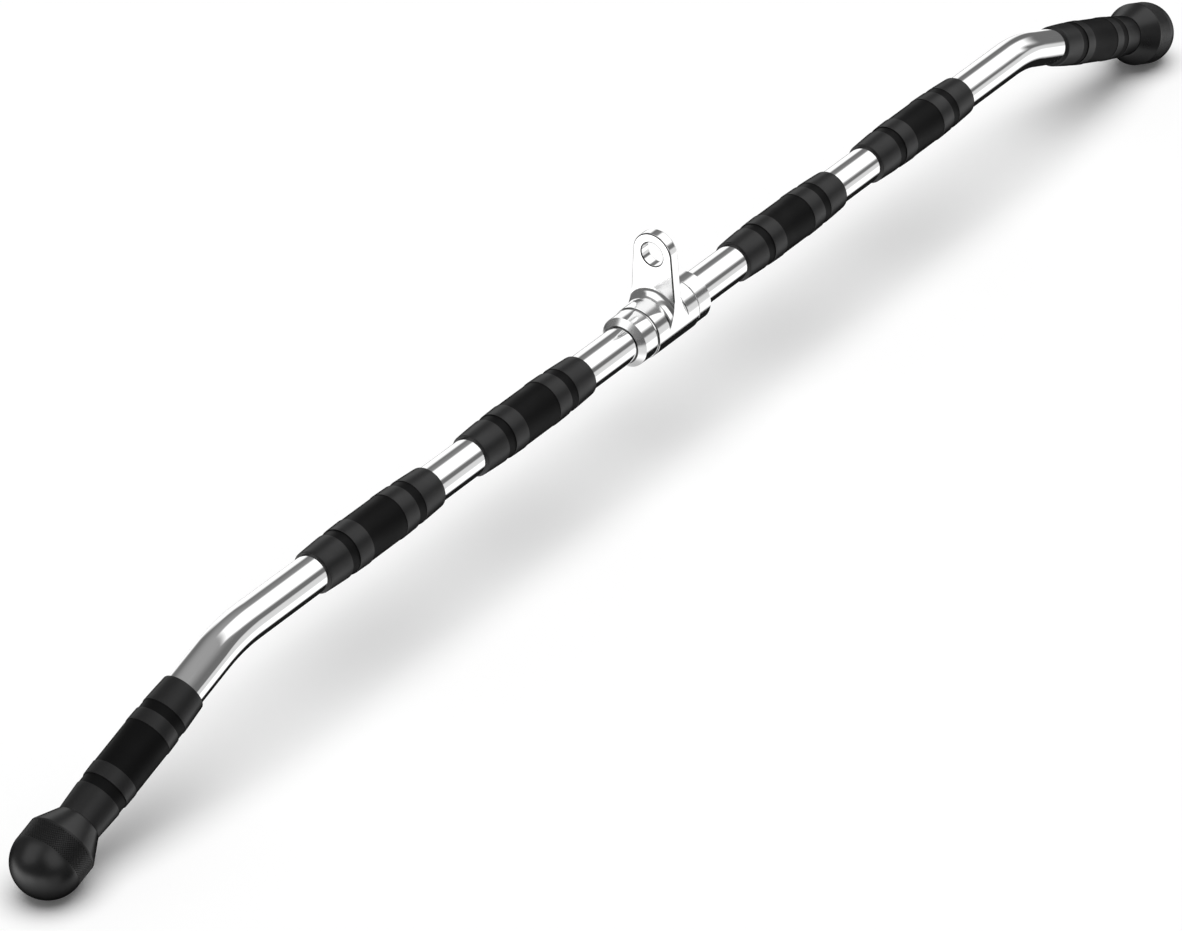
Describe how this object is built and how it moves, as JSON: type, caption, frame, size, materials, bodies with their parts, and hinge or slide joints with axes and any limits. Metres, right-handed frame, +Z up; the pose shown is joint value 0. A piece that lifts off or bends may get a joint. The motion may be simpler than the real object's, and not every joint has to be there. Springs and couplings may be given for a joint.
{
  "type": "lat pulldown bar",
  "caption": "Wide chromed pulldown bar with angled ends, rubber grips and end knobs, turning in a central hanger with an eye.",
  "frame": {"origin": "centre of the hanger's eye, where the carabiner goes through", "axes": "+X along the bar's straight middle to the right-hand end, +Z up from the bar's axis through the eye, +Y across the bar; the bent ends point down (-Z)"},
  "size_m": [1.2784, 0.0454, 0.1495],
  "materials": {
    "chrome_tube": "mirror-bright chrome plating on steel tube",
    "chrome_hanger": "mirror-bright chrome plating on a steel forging",
    "chrome_collar": "turned and chromed steel",
    "bush_bronze": "oiled sintered bronze",
    "screw_steel": "blackened steel",
    "grip_rubber": "satin black rubber with matt sunk bands",
    "knob_rubber": "satin black moulded rubber, fine knurl on the band",
    "stud_steel": "zinc-plated steel",
    "plug_steel": "turned steel"
  },
  "bodies": {
    "hanger": {"hanger": "chrome_hanger", "left_hanger_bush": "bush_bronze", "right_hanger_bush": "bush_bronze"},
    "bar": {"bar_tube": "chrome_tube", "left_collar": "chrome_collar", "left_collar_screw": "screw_steel", "left_inner_grip": "grip_rubber", "left_outer_grip": "grip_rubber", "left_end_grip": "grip_rubber", "left_end_knob": "knob_rubber", "left_knob_stud": "stud_steel", "left_end_plug": "plug_steel", "right_collar": "chrome_collar", "right_collar_screw": "screw_steel", "right_inner_grip": "grip_rubber", "right_outer_grip": "grip_rubber", "right_end_grip": "grip_rubber", "right_end_knob": "knob_rubber", "right_knob_stud": "stud_steel", "right_end_plug": "plug_steel"}
  },
  "joints": [
    {"name": "bar_turn", "type": "hinge", "parent": "hanger", "child": "bar", "pos_m": [0, 0, -0.05], "axis": [1, 0, 0], "continuous": true}
  ]
}
